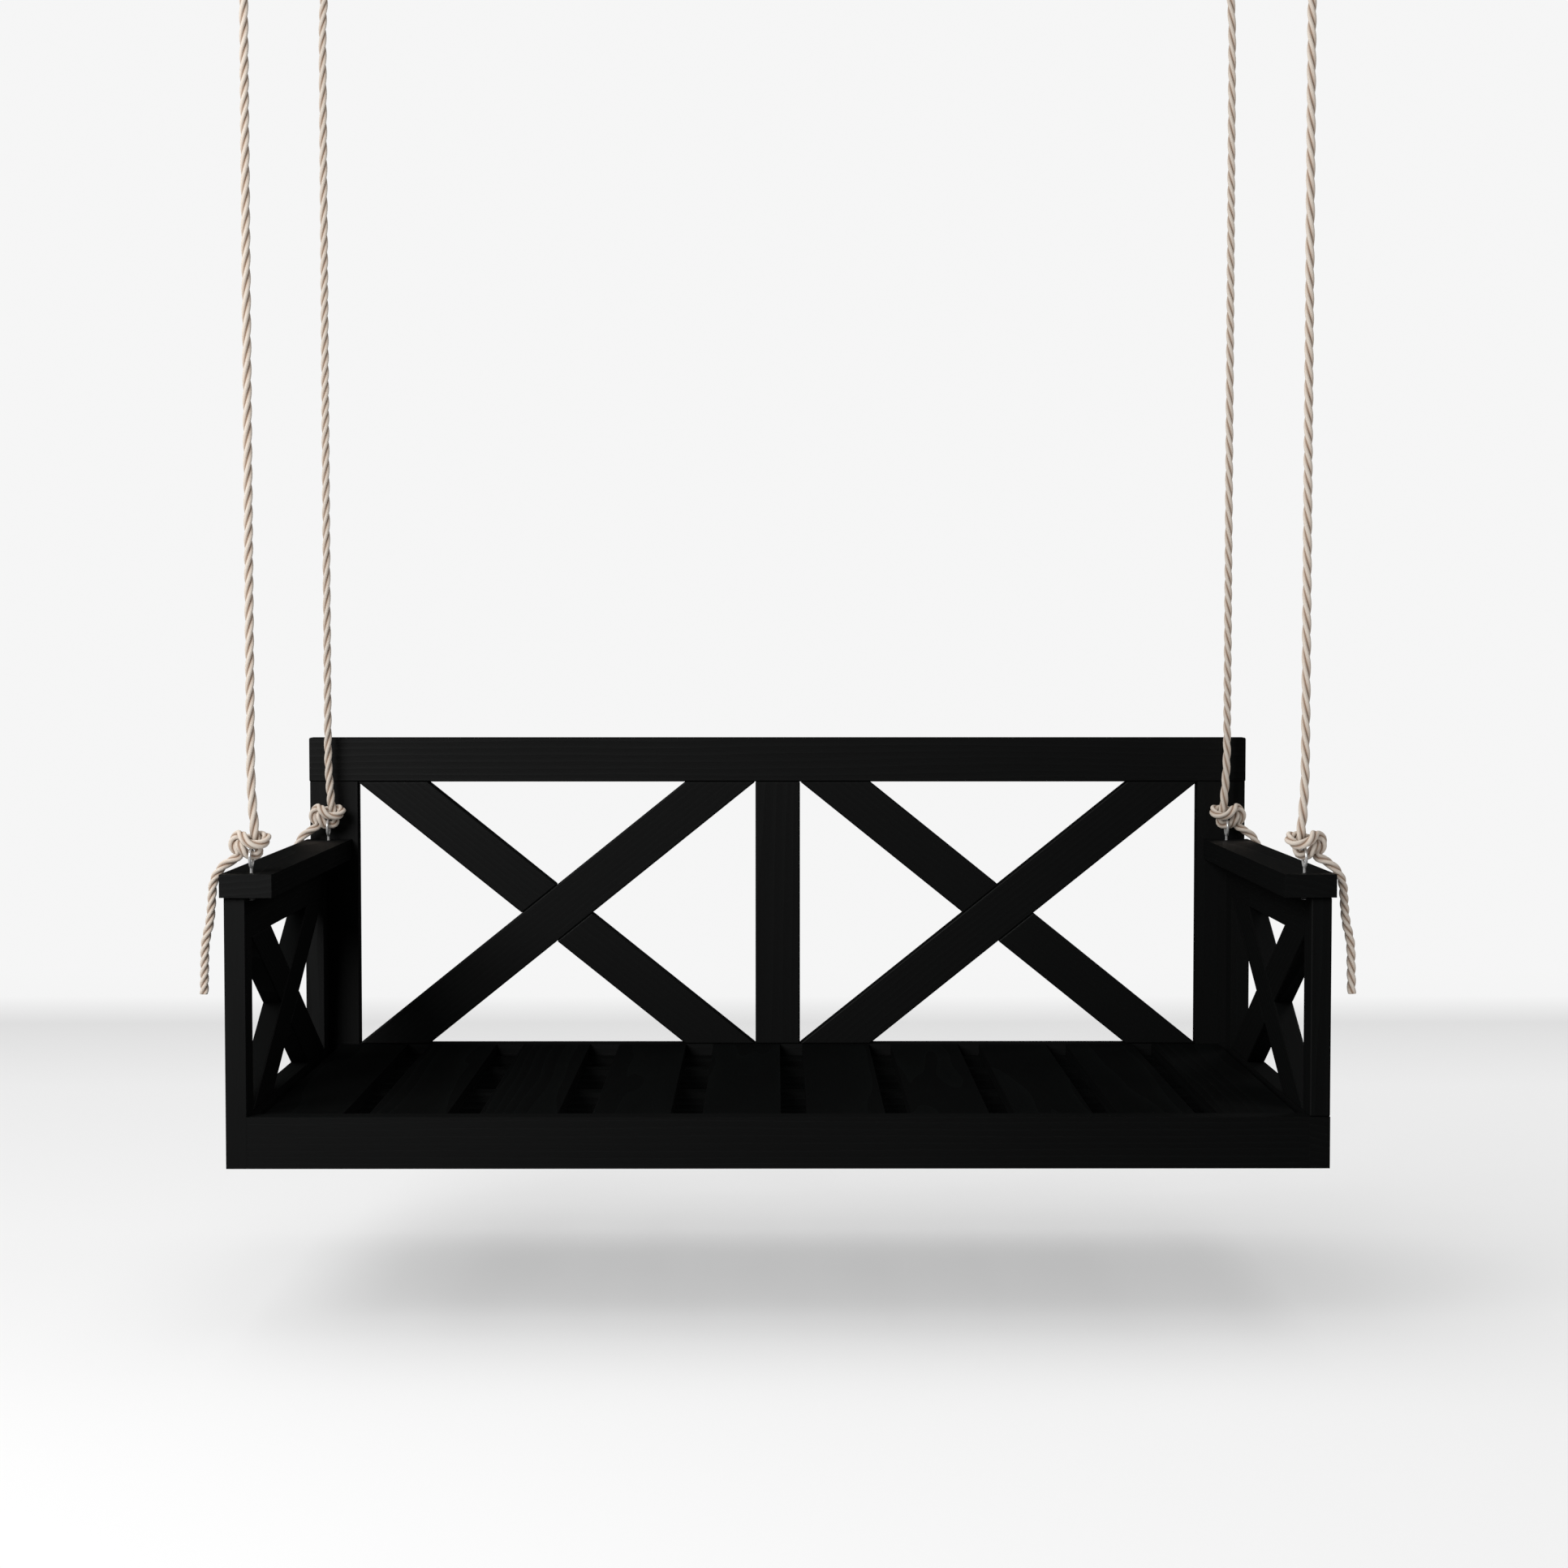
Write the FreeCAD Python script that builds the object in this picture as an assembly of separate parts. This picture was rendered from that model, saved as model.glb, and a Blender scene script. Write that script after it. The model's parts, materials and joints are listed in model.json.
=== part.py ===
"""A two-seat porch swing: a wooden bench hung by four ropes from four ceiling plates.

Millimetres. +X is the sitter's left-to-right as seen from the front, the front faces -Y and
+Z is up. The origin is the middle of the bench's plan at the height of its underside.
"""

import FreeCAD, Part
import math
import os

V = FreeCAD.Vector
X_AXIS = V(1, 0, 0)
Y_AXIS = V(0, 1, 0)
Z_AXIS = V(0, 0, 1)
SIDES = (("left", -1), ("right", 1))

# Bench: overall sizes
POSTS_WIDTH = 1521.0
FRAME_DEPTH = 755.0
ARM_FRONT_OVERHANG = 7.0
BACK_HEIGHT = 572.0

# Boards of the back and the seat
RAIL_HEIGHT = 71.5
BOARD = 33.0
TOP_RAIL_SPREAD = 1.5
BACK_POST_WIDTH = 77.0
STILE_WIDTH = 72.5
BRACE_WIDTH = 71.5

# Side frames and arms
SIDE_THICKNESS = 28.5
SIDE_POST_DEPTH = 52.0
SIDE_TOP_RAIL_HEIGHT = 58.0
ARM_UNDERSIDE = 375.0
ARM_THICKNESS = 32.0
ARM_WIDTH = 72.0
ARM_SIDE_OVERHANG = 5.0

# Seat slats, and the boards on edge that carry them
SLAT_WIDTH = 108.5
SLAT_THICKNESS = 19.0
SLAT_END_GAP = 0.5
FIRST_SLAT_EDGE = -712.0
SLAT_GAPS = (36.0, 44.5, 48.0, 44.5, 36.5, 36.0, 35.5, 33.5, 31.5)
BEARER_FRONTS = {"front": 337.0, "rear": 565.0}

# Deck screws, hidden under the seat and under the arms
DECK_SHANK_RADIUS = 2.0
DECK_HEAD_RADIUS = 4.0
DECK_HEAD_HEIGHT = 2.5
DECK_SCREW_LENGTH = 46.0
DECK_SCREW_BITE = 13.5
DRIVER_HOLE_RADIUS = 5.0
ARM_SCREW_PLACES = (150.0, 362.0, 574.0)

# Frame screws, with round heads and a hexagon socket
FRAME_SHANK_RADIUS = 3.0
FRAME_HEAD_RADIUS = 6.5
FRAME_HEAD_HEIGHT = 2.6
FRAME_SCREW_LENGTH = 70.0
SOCKET_RADIUS = 2.6
SOCKET_DEPTH = 1.6
SIDE_HEAD_PROUD = 1.2
REAR_HEAD_SUNK = 0.4
RAIL_SCREW_HEIGHTS = (21.8, 53.0)
POST_SCREW_HEIGHTS = (150.0, 300.0)
SCREW_CLEARANCE = 0.1

# Eye bolts through the arms
EYE_X = 726.8
EYE_FRONT = 26.0
EYE_REAR = 695.0
EYE_RING_RADIUS = 13.0
EYE_WIRE_RADIUS = 2.0
EYE_HEIGHT = 21.0
EYE_SHANK_RADIUS = 2.5
EYE_SHANK_BELOW_ARM = 5.6
NUT_ACROSS_FLATS = 8.0
NUT_HEIGHT = 4.0
FLANGE_RADIUS = 5.0
FLANGE_HEIGHT = 1.2

# Ceiling plates
HANG_LENGTH = 1385.0
PLATE_LENGTH = 80.0
PLATE_WIDTH = 50.0
PLATE_THICKNESS = 5.0
PLATE_CORNER = 8.0
PLATE_HOLE_RADIUS = 3.25
PLATE_HOLES_X = 60.0
PLATE_HOLES_Y = 30.0
PLATE_RING_RADIUS = 13.5
PLATE_WIRE_RADIUS = 3.0
RING_INTO_PLATE = 1.5

# Ropes, with a knot tied in a ring at each end. Knot and tail places are measured from the
# ring's centre: outward from the middle of the bench, and up.
ROPE_RADIUS = 5.9
KNOT_HALF_SIZE = (26.2, 17.0, 19.2)
KNOT_INWARD = 2.6
KNOT_ABOVE_RING = 17.5
KNOT_FLAT = 34.0
RING_SLOT = 0.5
TAIL_ROUTE = (
    (22.0, -2.5),
    (39.0, -10.5),
    (53.0, -30.0),
    (55.0, -60.0),
    (57.5, -90.0),
    (65.0, -116.0),
    (65.8, -152.0),
    (66.7, -188.6),
)
UPPER_TAIL_ROUTE = ((12.0, 1.0), (46.0, 2.0))
ARC_SHARE = 0.45

# Places worked out from the sizes above
FRONT = -(FRAME_DEPTH - ARM_FRONT_OVERHANG) / 2
REAR = FRONT + FRAME_DEPTH
BACK_FACE = REAR - BOARD
SEAT_FRONT = FRONT + BOARD
OUTER = POSTS_WIDTH / 2
INNER = OUTER - SIDE_THICKNESS
BAY_OUTER = OUTER - BACK_POST_WIDTH
BAY_INNER = STILE_WIDTH / 2
TOP_RAIL_FLOOR = BACK_HEIGHT - RAIL_HEIGHT
SIDE_RAIL_FLOOR = ARM_UNDERSIDE - SIDE_TOP_RAIL_HEIGHT
ARM_TOP = ARM_UNDERSIDE + ARM_THICKNESS
SLAT_FLOOR = RAIL_HEIGHT - SLAT_THICKNESS
CARRIERS = {f"seat_bearer_{end}": FRONT + depth for end, depth in BEARER_FRONTS.items()}
CARRIERS |= {"seat_ledger_front": SEAT_FRONT, "seat_ledger_rear": BACK_FACE - BOARD}
RING_Z = ARM_TOP + EYE_HEIGHT
CEILING_RING_Z = RING_Z + HANG_LENGTH
PLATE_Z = CEILING_RING_Z + PLATE_RING_RADIUS + PLATE_WIRE_RADIUS - RING_INTO_PLATE
HANGERS = [
    (f"{end}_{side}", sign * EYE_X, FRONT + depth, sign)
    for end, depth in (("front", EYE_FRONT), ("rear", EYE_REAR))
    for side, sign in SIDES
]


def save(name, *solids):
    """Write one node: a single solid, or a group of separate ones."""
    shape = solids[0] if len(solids) == 1 else Part.makeCompound(list(solids))
    if not shape.isValid():
        raise ValueError(f"{name} is not valid")
    shape.exportStep(f"parts/{name}.step")


def block(x, y, z):
    """A board between two corners, each pair in any order."""
    low = V(min(x), min(y), min(z))
    size = V(max(x), max(y), max(z)) - low
    return Part.makeBox(size.x, size.y, size.z, low)


def bore(point, axis, radius, length):
    return Part.makeCylinder(radius, length, point, axis)


def drilled(board, holes):
    return board.cut(holes) if holes else board


def only_solid(shape):
    if len(shape.Solids) != 1:
        raise ValueError(f"expected one solid, got {len(shape.Solids)}")
    return shape.Solids[0]


# Crossed braces


def brace_outline(start, end, floor, top, rising):
    """Corners of a brace whose two long edges meet opposite corners of its opening."""
    width, height = abs(end - start), top - floor
    angle = math.atan2(height, width) + math.asin(BRACE_WIDTH / math.hypot(width, height))
    foot = math.copysign(BRACE_WIDTH / math.sin(angle), end - start)
    if not rising:
        floor, top = top, floor
    return [(start, floor), (start + foot, floor), (end, top), (end - foot, top)]


def prism(points, direction):
    loop = Part.makePolygon(points + points[:1])
    return Part.Face(loop).extrude(direction)


def cross_brace(start, end, floor, top, place, direction):
    """The whole brace, rising from start to end, and the two halves of the one it crosses."""
    whole, crossed = (
        prism([place(along, z) for along, z in brace_outline(start, end, floor, top, rising)], direction)
        for rising in (True, False)
    )
    halves = crossed.cut(whole).Solids
    if len(halves) != 2:
        raise ValueError("a crossed brace has two halves")
    return whole, halves


# Screws and bolts


def deck_screw_top(x, y, z):
    """A screw driven upwards, whose point is at z; its head is at the bottom."""
    foot = z - DECK_SCREW_LENGTH
    head = Part.makeCone(
        DECK_HEAD_RADIUS, DECK_SHANK_RADIUS, DECK_HEAD_HEIGHT, V(x, y, foot), Z_AXIS
    )
    return head.fuse(bore(V(x, y, foot), Z_AXIS, DECK_SHANK_RADIUS, DECK_SCREW_LENGTH))


def deck_screw_hole(x, y, z, floor):
    """The hole for that screw, opened for a driver from floor up to the head."""
    foot = z - DECK_SCREW_LENGTH
    lift = DECK_HEAD_HEIGHT + SCREW_CLEARANCE
    shank = bore(V(x, y, foot), Z_AXIS, DECK_SHANK_RADIUS + SCREW_CLEARANCE, DECK_SCREW_LENGTH)
    return shank.fuse(bore(V(x, y, floor), Z_AXIS, DRIVER_HOLE_RADIUS, foot + lift - floor))


def frame_screw(point, axis):
    """A screw whose head rests at point and whose shank runs along axis."""
    head = bore(point - axis * FRAME_HEAD_HEIGHT, axis, FRAME_HEAD_RADIUS, FRAME_HEAD_HEIGHT)
    rim = [e for e in head.Edges if abs(e.CenterOfMass.sub(point).Length - FRAME_HEAD_HEIGHT) < 0.1]
    head = head.makeFillet(FRAME_HEAD_HEIGHT / 2, rim[:1])
    screw = head.fuse(bore(point, axis, FRAME_SHANK_RADIUS, FRAME_SCREW_LENGTH))
    socket = hexagon(point - axis * FRAME_HEAD_HEIGHT, axis, SOCKET_RADIUS, SOCKET_DEPTH)
    return only_solid(screw.cut(socket))


def frame_screw_hole(point, axis, sunk):
    """The hole for that screw: its shank, and a seat as deep as its head is sunk."""
    shank = bore(point, axis, FRAME_SHANK_RADIUS + SCREW_CLEARANCE, FRAME_SCREW_LENGTH)
    seat = bore(point - axis * sunk, axis, FRAME_HEAD_RADIUS + SCREW_CLEARANCE, sunk)
    return shank.fuse(seat)


def hexagon(point, axis, radius, height):
    """A hexagonal prism with that radius to its corners."""
    turn = FreeCAD.Rotation(Z_AXIS, axis)
    corners = [
        point + turn.multVec(V(radius * math.cos(k * math.pi / 3), radius * math.sin(k * math.pi / 3), 0))
        for k in range(6)
    ]
    return prism(corners, axis * height)


def slat_edges():
    edges, edge = [], FIRST_SLAT_EDGE
    for gap in SLAT_GAPS + (0.0,):
        edges.append(edge)
        edge += SLAT_WIDTH + gap
    return edges


def slat_screw_places():
    centres = [edge + SLAT_WIDTH / 2 for edge in slat_edges()]
    rows = [y + BOARD / 2 for y in CARRIERS.values()]
    return [(x, y) for x in centres for y in rows]


def frame_screw_places(sign):
    """Seat point, axis and how far the head is sunk, for the screws on one side."""
    side_sunk = FRAME_HEAD_HEIGHT - SIDE_HEAD_PROUD
    rear_sunk = FRAME_HEAD_HEIGHT + REAR_HEAD_SUNK
    side_x = sign * (OUTER - SIDE_THICKNESS / 2)
    inward = V(-sign, 0, 0)
    places = [
        (V(sign * (OUTER - side_sunk), FRONT + BOARD / 2, z), inward, side_sunk)
        for z in RAIL_SCREW_HEIGHTS
    ]
    for x, z in (
        [(side_x, z) for z in RAIL_SCREW_HEIGHTS + POST_SCREW_HEIGHTS]
        + [(side_x, ARM_UNDERSIDE + ARM_THICKNESS / 2)]
    ):
        places.append((V(x, REAR - rear_sunk, z), -Y_AXIS, rear_sunk))
    return places


def frame_screw_holes(sign):
    return [frame_screw_hole(*place) for place in frame_screw_places(sign)]


# The bench


def build_back():
    holes = frame_screw_holes(-1) + frame_screw_holes(1)
    half = OUTER + TOP_RAIL_SPREAD
    y = (BACK_FACE, REAR)
    save("back_top_rail", block((-half, half), y, (TOP_RAIL_FLOOR, BACK_HEIGHT)))
    rail = block((-OUTER, OUTER), y, (0, RAIL_HEIGHT))
    save("rear_seat_rail", only_solid(drilled(rail, holes)))
    uprights = (RAIL_HEIGHT, TOP_RAIL_FLOOR)
    save("back_stile", block((-BAY_INNER, BAY_INNER), y, uprights))
    for side, sign in SIDES:
        post = block((sign * BAY_OUTER, sign * OUTER), y, uprights)
        save(f"back_post_{side}", only_solid(drilled(post, holes)))
        left, right = sorted((sign * BAY_OUTER, sign * BAY_INNER))
        whole, halves = cross_brace(
            left, right, *uprights, lambda x, z: V(x, BACK_FACE, z), Y_AXIS * BOARD
        )
        save(f"back_brace_{side}", whole)
        save(f"back_brace_cut_{side}", *halves)


def build_side(side, sign):
    holes = frame_screw_holes(sign)
    x = (sign * INNER, sign * OUTER)
    post_back = FRONT + SIDE_POST_DEPTH
    rear_post_front = BACK_FACE - SIDE_POST_DEPTH
    # The left front post runs down to the floor of the frame. On the right the lower side
    # rail runs through to the front instead, and the post stands on it.
    runs_down = sign < 0
    post = block(x, (FRONT, post_back), (0 if runs_down else RAIL_HEIGHT, ARM_UNDERSIDE))
    save(f"front_post_{side}", only_solid(drilled(post, holes)))
    rear = block(x, (rear_post_front, BACK_FACE), (RAIL_HEIGHT, ARM_UNDERSIDE))
    save(f"rear_post_{side}", only_solid(drilled(rear, holes)))
    rail = block(x, (post_back if runs_down else FRONT, BACK_FACE), (0, RAIL_HEIGHT))
    save(f"side_lower_rail_{side}", only_solid(drilled(rail, holes)))
    opening = (post_back, rear_post_front, RAIL_HEIGHT, SIDE_RAIL_FLOOR)
    whole, halves = cross_brace(
        *opening, lambda y, z: V(x[0], y, z), V(sign * SIDE_THICKNESS, 0, 0)
    )
    save(f"side_brace_{side}", whole)
    save(f"side_brace_cut_{side}", *halves)
    build_arm(side, sign, x, (post_back, rear_post_front))


def arm_screw_places(sign):
    x = sign * (OUTER - SIDE_THICKNESS / 2)
    return [(x, FRONT + y, ARM_UNDERSIDE + DECK_SCREW_BITE) for y in ARM_SCREW_PLACES]


def build_arm(side, sign, x, y):
    screws = [deck_screw_hole(*place, SIDE_RAIL_FLOOR) for place in arm_screw_places(sign)]
    rail = block(x, y, (SIDE_RAIL_FLOOR, ARM_UNDERSIDE))
    save(f"side_upper_rail_{side}", only_solid(rail.cut(screws)))
    outer = OUTER + ARM_SIDE_OVERHANG
    arm = block(
        (sign * (outer - ARM_WIDTH), sign * outer),
        (FRONT - ARM_FRONT_OVERHANG, BACK_FACE),
        (ARM_UNDERSIDE, ARM_TOP),
    )
    eyes = [
        bore(V(ring_x, ring_y, ARM_UNDERSIDE), Z_AXIS, EYE_SHANK_RADIUS + SCREW_CLEARANCE, ARM_THICKNESS)
        for _, ring_x, ring_y, ring_sign in HANGERS
        if ring_sign == sign
    ]
    save(f"arm_{side}", only_solid(arm.cut(screws + eyes + frame_screw_holes(sign))))


def build_seat():
    rail_holes = frame_screw_holes(-1) + frame_screw_holes(1)
    rail = block((-INNER, INNER), (FRONT, SEAT_FRONT), (0, RAIL_HEIGHT))
    save("front_seat_rail", only_solid(rail.cut(rail_holes)))
    tip = SLAT_FLOOR + DECK_SCREW_BITE
    holes = [deck_screw_hole(x, y, tip, 0) for x, y in slat_screw_places()]
    for name, y in CARRIERS.items():
        board = block((-INNER, INNER), (y, y + BOARD), (0, SLAT_FLOOR))
        save(name, only_solid(board.cut(holes)))
    ends = (SEAT_FRONT + SLAT_END_GAP, BACK_FACE - SLAT_END_GAP)
    for number, edge in enumerate(slat_edges(), 1):
        slat = block((edge, edge + SLAT_WIDTH), ends, (SLAT_FLOOR, RAIL_HEIGHT))
        save(f"seat_slat_{number:02d}", only_solid(slat.cut(holes)))


def build_screws():
    tip = SLAT_FLOOR + DECK_SCREW_BITE
    places = [(x, y, tip) for x, y in slat_screw_places()]
    places += arm_screw_places(-1) + arm_screw_places(1)
    save("deck_screws", *[deck_screw_top(*place) for place in places])
    heads = [place[:2] for _, sign in SIDES for place in frame_screw_places(sign)]
    save("frame_screws", *[frame_screw(*head) for head in heads])


# Eye bolts, ceiling plates and ropes


def ring(centre, ring_radius, wire_radius):
    """A ring standing in the Y-Z plane, so that a rope goes through it along X."""
    return Part.makeTorus(ring_radius, wire_radius, centre, X_AXIS)


def eye_bolt(x, y):
    neck_length = EYE_HEIGHT - EYE_RING_RADIUS
    neck = bore(V(x, y, ARM_TOP), Z_AXIS, EYE_WIRE_RADIUS, neck_length)
    length = ARM_THICKNESS + EYE_SHANK_BELOW_ARM
    shank = bore(V(x, y, ARM_TOP - length), Z_AXIS, EYE_SHANK_RADIUS, length)
    return only_solid(ring(V(x, y, RING_Z), EYE_RING_RADIUS, EYE_WIRE_RADIUS).fuse([neck, shank]))


def flange_nut(x, y):
    seat = ARM_UNDERSIDE - FLANGE_HEIGHT
    corner = NUT_ACROSS_FLATS / math.sqrt(3)
    body = hexagon(V(x, y, seat - NUT_HEIGHT), Z_AXIS, corner, NUT_HEIGHT)
    nut = body.fuse(bore(V(x, y, seat), Z_AXIS, FLANGE_RADIUS, FLANGE_HEIGHT))
    hole = bore(V(x, y, seat - NUT_HEIGHT), Z_AXIS, EYE_SHANK_RADIUS, NUT_HEIGHT + FLANGE_HEIGHT)
    return only_solid(nut.cut(hole))


def ceiling_plate(x, y):
    plate = block(
        (x - PLATE_LENGTH / 2, x + PLATE_LENGTH / 2),
        (y - PLATE_WIDTH / 2, y + PLATE_WIDTH / 2),
        (PLATE_Z, PLATE_Z + PLATE_THICKNESS),
    )
    upright = [e for e in plate.Edges if abs(e.tangentAt(e.FirstParameter).z) > 0.9]
    plate = plate.makeFillet(PLATE_CORNER, upright)
    holes = [
        bore(V(x + dx, y + dy, PLATE_Z), Z_AXIS, PLATE_HOLE_RADIUS, PLATE_THICKNESS)
        for dx in (-PLATE_HOLES_X / 2, PLATE_HOLES_X / 2)
        for dy in (-PLATE_HOLES_Y / 2, PLATE_HOLES_Y / 2)
    ]
    hoop = ring(V(x, y, CEILING_RING_Z), PLATE_RING_RADIUS, PLATE_WIRE_RADIUS)
    return only_solid(plate.cut(holes).fuse(hoop))


def corner_arc(before, point, after):
    """The arc that rounds one corner of a route, and its radius."""
    back, ahead = before - point, after - point
    half_turn = (math.pi - back.getAngle(ahead)) / 2
    cut = ARC_SHARE * min(back.Length, ahead.Length)
    radius = cut / math.tan(half_turn)
    back.normalize()
    ahead.normalize()
    middle = back + ahead
    middle.normalize()
    inset = radius / math.cos(half_turn) - radius
    arc = Part.Arc(point + back * cut, point + middle * inset, point + ahead * cut)
    return arc, radius


def tube(name, points):
    """A round tube along straight runs joined by tangent arcs."""
    edges, start = [], points[0]
    for before, point, after in zip(points, points[1:], points[2:]):
        arc, radius = corner_arc(before, point, after)
        print(f"{name}: bend radius {radius:.0f} mm")
        edges += [Part.LineSegment(start, arc.StartPoint).toShape(), arc.toShape()]
        start = arc.EndPoint
    edges.append(Part.LineSegment(start, points[-1]).toShape())
    path = Part.Wire(edges)
    heading = points[1] - points[0]
    section = Part.Wire(Part.makeCircle(ROPE_RADIUS, points[0], heading))
    solid = path.makePipeShell([section], True, True)
    volume = math.pi * ROPE_RADIUS**2 * path.Length
    print(f"{name}: {path.Length:.1f} mm long, volume {solid.Volume / volume:.4f} of its own")
    return solid


def knot(centre, sign, up, wire_radius, ring_radius):
    """A knot's outer shape above (up = 1) or below (up = -1) the ring that it is tied in."""
    matrix = FreeCAD.Matrix()
    matrix.scale(V(*KNOT_HALF_SIZE))
    middle = centre + V(-sign * KNOT_INWARD, 0, up * KNOT_ABOVE_RING)
    body = Part.makeSphere(1).transformGeometry(matrix)
    body.translate(middle)
    reach = 4 * KNOT_HALF_SIZE[0]
    lid = Part.makeBox(reach, reach, reach, V(-reach / 2, -reach / 2, 0))
    if up < 0:
        lid.translate(V(0, 0, -reach))
    lid.translate(centre + V(0, 0, up * KNOT_FLAT))
    slot = ring(centre, ring_radius, wire_radius + RING_SLOT)
    return body.cut([lid, slot])


def route(centre, sign, points):
    return [centre + V(sign * out, 0, rise) for out, rise in points]


def sliced(body, point, heading):
    """Cut a flat on body where a tail leaves it at point."""
    reach = 4 * KNOT_HALF_SIZE[0]
    beyond = Part.makeBox(reach, reach, reach, V(-reach / 2, -reach / 2, 0))
    beyond.rotate(V(0, 0, 0), *rotation_to(heading))
    beyond.translate(point)
    return body.cut(beyond)


def rotation_to(heading):
    turn = FreeCAD.Rotation(Z_AXIS, heading)
    return turn.Axis, math.degrees(turn.Angle)


def build_rope(name, x, y, sign):
    lower, upper = V(x, y, RING_Z), V(x, y, CEILING_RING_Z)
    top = HANG_LENGTH - KNOT_FLAT
    save(f"rope_{name}", bore(lower + Z_AXIS * KNOT_FLAT, Z_AXIS, ROPE_RADIUS, top - KNOT_FLAT))
    points = route(lower, sign, TAIL_ROUTE)
    save(f"tail_{name}", tube(f"tail_{name}", points))
    body = knot(lower, sign, 1, EYE_WIRE_RADIUS, EYE_RING_RADIUS)
    save(f"knot_{name}", only_solid(sliced(body, points[0], points[1] - points[0])))
    body = knot(upper, sign, -1, PLATE_WIRE_RADIUS, PLATE_RING_RADIUS)
    start, end = route(upper, sign, UPPER_TAIL_ROUTE)
    stub = bore(start, end - start, ROPE_RADIUS, (end - start).Length)
    slot = ring(upper, PLATE_RING_RADIUS, PLATE_WIRE_RADIUS + RING_SLOT)
    save(f"upper_knot_{name}", only_solid(body.fuse(stub.cut(slot))))


def build_hangers():
    save("eye_bolts", *[eye_bolt(x, y) for _, x, y, _ in HANGERS])
    save("eye_nuts", *[flange_nut(x, y) for _, x, y, _ in HANGERS])
    save("ceiling_plates", *[ceiling_plate(x, y) for _, x, y, _ in HANGERS])
    for hanger in HANGERS:
        build_rope(*hanger)


def main():
    os.makedirs("parts", exist_ok=True)
    build_back()
    for side, sign in SIDES:
        build_side(side, sign)
    build_seat()
    build_screws()
    build_hangers()


main()
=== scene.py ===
"""A black porch swing for two, hung on four three-strand ropes, in a plain pale studio.

Every place is in metres in the CAD frame: +Z is up, the front faces -Y, and the undersides of the seat's
rails are at z = 0.
"""

import json
import math
import random

import bpy
import numpy as np
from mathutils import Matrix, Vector


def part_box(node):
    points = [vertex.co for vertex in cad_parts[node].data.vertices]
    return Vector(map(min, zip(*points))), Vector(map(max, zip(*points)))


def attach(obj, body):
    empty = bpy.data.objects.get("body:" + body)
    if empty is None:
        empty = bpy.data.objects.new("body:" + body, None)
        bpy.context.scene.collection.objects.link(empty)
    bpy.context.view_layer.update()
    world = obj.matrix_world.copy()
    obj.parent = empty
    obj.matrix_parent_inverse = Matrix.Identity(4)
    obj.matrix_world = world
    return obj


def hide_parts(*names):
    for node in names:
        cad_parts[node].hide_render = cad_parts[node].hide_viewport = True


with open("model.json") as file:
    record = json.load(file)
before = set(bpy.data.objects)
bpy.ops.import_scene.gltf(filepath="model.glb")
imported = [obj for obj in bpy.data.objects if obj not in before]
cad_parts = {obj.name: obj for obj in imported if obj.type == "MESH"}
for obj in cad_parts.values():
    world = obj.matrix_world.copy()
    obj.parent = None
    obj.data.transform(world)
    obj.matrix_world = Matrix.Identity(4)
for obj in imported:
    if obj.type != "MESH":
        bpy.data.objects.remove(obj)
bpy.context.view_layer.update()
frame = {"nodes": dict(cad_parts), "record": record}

# The camera has a long lens, stands higher than the arms and looks slightly down. Its angles are in degrees.
LENS_MM = 64.26
SENSOR_MM = 36.0
CAMERA_PLACE = (-0.00528, -4.2013, 0.71164)
CAMERA_PITCH = -2.7058
CAMERA_YAW = -0.1956

# Each rope is three round strands about a middle line. Its mesh is a tube of rings of points along that line.
STRANDS = 3
STRAND_OFFSET = 0.00315
STRAND_RADIUS = 0.00325
POINTS_PER_STRAND = 10
RING_STEP = 0.003
SPLINE_ORDER = 3
SPLINE_STEPS = 32
UV_PER_METRE = 10

# The lay is the length of one full turn of the strands. It wavers along the rope in two waves, each with its
# share of the lay, its phase from rope to rope, and its radians for each metre.
LAY_ON_THE_RUN = 0.0825
LAY_IN_KNOTS = 0.075
LAY_IN_TAILS = 0.049
LAY_WAVES = ((0.1, 1.0, 9.0), (0.06, 2.3, 31.0))
WANDER_BETWEEN_ROPES = 1.7

# The rope's width in its knots and tails, against its width on the taut run
SWELL_IN_KNOTS = 1.07
SWELL_IN_TAILS = 0.99

# Distances from a ring between which the knot gives way to the taut run, and to the tail below
KNOT_ENDS = (0.045, 0.11)
TAIL_BEGINS = (0.0, 0.03)

# The rounded end of a cut rope: how far each ring stands out, and its share of the rope's width
CAP = ((0.0003, 0.95), (0.0006, 0.8), (0.0008, 0.4))

# How far the lower rings' middles stand above the arms, and the plates' tops above the upper rings' middles
EYE_HEIGHT = 0.021
PLATE_TOP_ABOVE_RING = 0.020

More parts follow.
